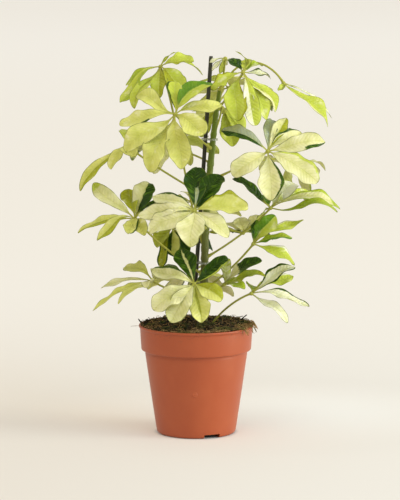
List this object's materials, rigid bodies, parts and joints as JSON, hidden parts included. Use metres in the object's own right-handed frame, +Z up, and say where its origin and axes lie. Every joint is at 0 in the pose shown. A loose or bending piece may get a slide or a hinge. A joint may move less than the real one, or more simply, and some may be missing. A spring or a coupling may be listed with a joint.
{
  "type": "potted umbrella plant",
  "caption": "Young variegated umbrella plant in a round plastic nursery pot, its stem clipped to a thin stake, with fans of stalked leaflets spreading on all sides.",
  "frame": {"origin": "middle of the pot's foot, on the surface it stands on", "axes": "+Z straight up along the pot's axis; +X to the right and -Y towards the viewer of the picture"},
  "size_m": [0.273, 0.1909, 0.4],
  "materials": {
    "pot_plastic": "terracotta-coloured moulded polypropylene, satin",
    "peat": "dark potting peat with tan fibres, matte",
    "green_stem": "smooth green bark with pale leaf scars",
    "stake_wood": "dyed, near black, matte",
    "clear_plastic": "clear to milky plastic",
    "leaf": "cream-yellow to dark green, leathery with a soft gloss"
  },
  "bodies": {
    "root": {"clip_lower": "clear_plastic", "clip_upper": "clear_plastic", "leaf_back_low": "leaf", "leaf_back_middle": "leaf", "leaf_back_top": "leaf", "leaf_back_upper_left": "leaf", "leaf_back_upper_right": "leaf", "leaf_centre_front": "leaf", "leaf_inner_left": "leaf", "leaf_left": "leaf", "leaf_low_front": "leaf", "leaf_low_inner": "leaf", "leaf_low_left": "leaf", "leaf_low_right": "leaf", "leaf_mid_left": "leaf", "leaf_mid_right": "leaf", "leaf_right": "leaf", "leaf_right_inner": "leaf", "leaf_top_far_right": "leaf", "leaf_top_left": "leaf", "leaf_top_right": "leaf", "leaf_upper_back": "leaf", "leaf_upper_left": "leaf", "leaf_upper_right": "leaf", "leaf_young": "leaf", "pot": "pot_plastic", "soil": "peat", "stake": "stake_wood", "stem": "green_stem"}
  },
  "joints": []
}
